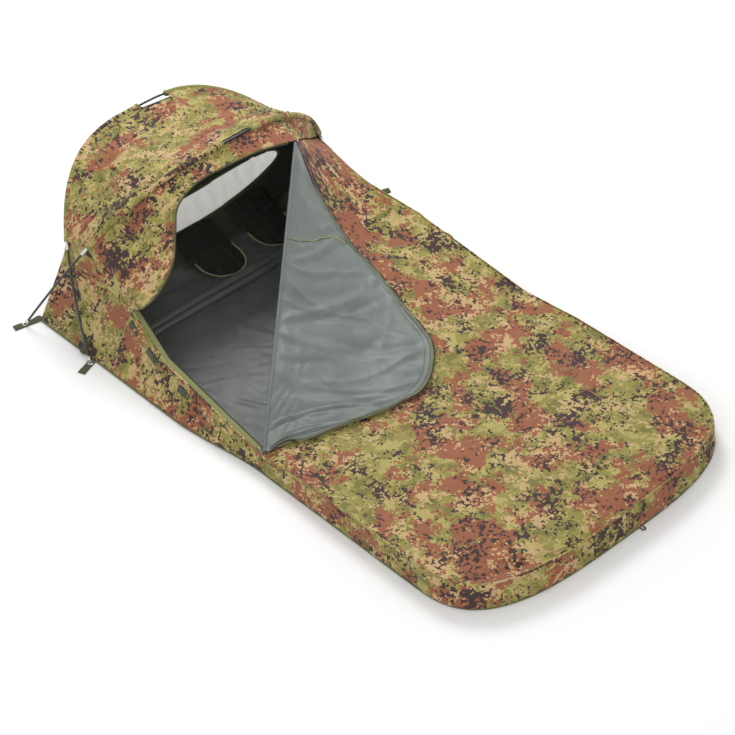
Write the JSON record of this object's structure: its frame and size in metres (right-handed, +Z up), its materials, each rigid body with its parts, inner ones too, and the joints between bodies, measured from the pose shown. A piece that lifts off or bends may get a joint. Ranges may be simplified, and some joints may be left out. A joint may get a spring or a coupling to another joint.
{
  "type": "hooped bivy sack",
  "caption": "Hooped bivy sack: a camouflage fabric sleeping sack with crossed pole hoops over the head, anchor straps, a mesh vent and a zipped side door that folds open.",
  "frame": {"origin": "on the ground under the middle of the sack, on the underside of the groundsheet", "axes": "+X towards the foot end, +Z up, so the door's zip runs along the -Y side"},
  "size_m": [2.4395, 1.47, 0.5821],
  "materials": {
    "camo_shell": null,
    "lining": "coated, soft satin sheen",
    "floor_cloth": "coated, low sheen",
    "vent_mesh": "fine knitted mesh",
    "pocket_mesh": "fine dark mesh with a pale binding",
    "webbing": "ribbed webbing",
    "hook_and_loop": "short pile",
    "zip_tape": "twill tape with a coil",
    "zip_metal": "satin",
    "pole_fibreglass": "semi-gloss",
    "steel": "bright",
    "elastic_cord": "braided"
  },
  "bodies": {
    "root": {"front_pole_section_1": "pole_fibreglass", "front_pole_section_2": "pole_fibreglass", "front_pole_section_3": "pole_fibreglass", "front_pole_section_4": "pole_fibreglass", "front_pole_section_5": "pole_fibreglass", "front_pole_ferrule_1": "steel", "front_pole_ferrule_2": "steel", "front_pole_ferrule_3": "steel", "front_pole_ferrule_4": "steel", "front_pole_shock_cord": "elastic_cord", "front_pole_tip_near": "steel", "front_pole_tip_far": "steel", "front_sleeve_near": "camo_shell", "front_sleeve_far": "camo_shell", "rear_pole_section_1": "pole_fibreglass", "rear_pole_section_2": "pole_fibreglass", "rear_pole_section_3": "pole_fibreglass", "rear_pole_section_4": "pole_fibreglass", "rear_pole_section_5": "pole_fibreglass", "rear_pole_ferrule_1": "steel", "rear_pole_ferrule_2": "steel", "rear_pole_ferrule_3": "steel", "rear_pole_ferrule_4": "steel", "rear_pole_shock_cord": "elastic_cord", "rear_pole_tip_near": "steel", "rear_pole_tip_far": "steel", "rear_sleeve_near": "camo_shell", "rear_sleeve_far": "camo_shell", "roof_panel": "camo_shell", "rear_wall": "camo_shell", "vent_mesh": "vent_mesh", "hood_front_panel": "camo_shell", "sack_top": "camo_shell", "foot_wall": "camo_shell", "groundsheet": "floor_cloth", "floor_seam_roll": "floor_cloth", "pocket_near": "pocket_mesh", "pocket_far": "pocket_mesh", "hood_side_near": "camo_shell", "sack_wall_near": "camo_shell", "front_anchor_strap_near": "webbing", "rear_anchor_strap_near": "webbing", "front_eyelet_near": "steel", "rear_eyelet_near": "steel", "hood_side_far": "camo_shell", "sack_wall_far": "camo_shell", "front_anchor_strap_far": "webbing", "rear_anchor_strap_far": "webbing", "front_eyelet_far": "steel", "rear_eyelet_far": "steel", "wall_zip_tape": "zip_tape", "hood_zip_tape": "zip_tape", "wall_hook_patch_1": "hook_and_loop", "wall_hook_patch_2": "hook_and_loop", "wall_hook_patch_3": "hook_and_loop"},
    "door": {"door_panel": "lining", "door_zip_tape": "zip_tape"},
    "zip_slider": {"zip_slider": "zip_metal"},
    "zip_pull": {"zip_pull": "zip_metal"},
    "foot_loop": {"foot_peg_loop": "webbing"}
  },
  "joints": [
    {"name": "door_fold", "type": "hinge", "parent": "root", "child": "door", "pos_m": [-0.712, 0.27, 0.496], "axis": [0.6365, -0.6927, -0.3391], "range_deg": [0, 175]},
    {"name": "zip_travel", "type": "slide", "parent": "root", "child": "zip_slider", "axis": [-0.9876, 0.0354, 0.1528], "range_m": [0, 0.45]},
    {"name": "zip_pull_swing", "type": "hinge", "parent": "zip_slider", "child": "zip_pull", "pos_m": [0.03651, -0.58217, 0.0824], "axis": [-0.1372, 0.2774, -0.9509], "range_deg": [0, 90]},
    {"name": "foot_loop_tilt", "type": "hinge", "parent": "root", "child": "foot_loop", "pos_m": [1.131, 0.08, 0.0025], "axis": [0, -1, 0], "range_deg": [0, 85]}
  ]
}
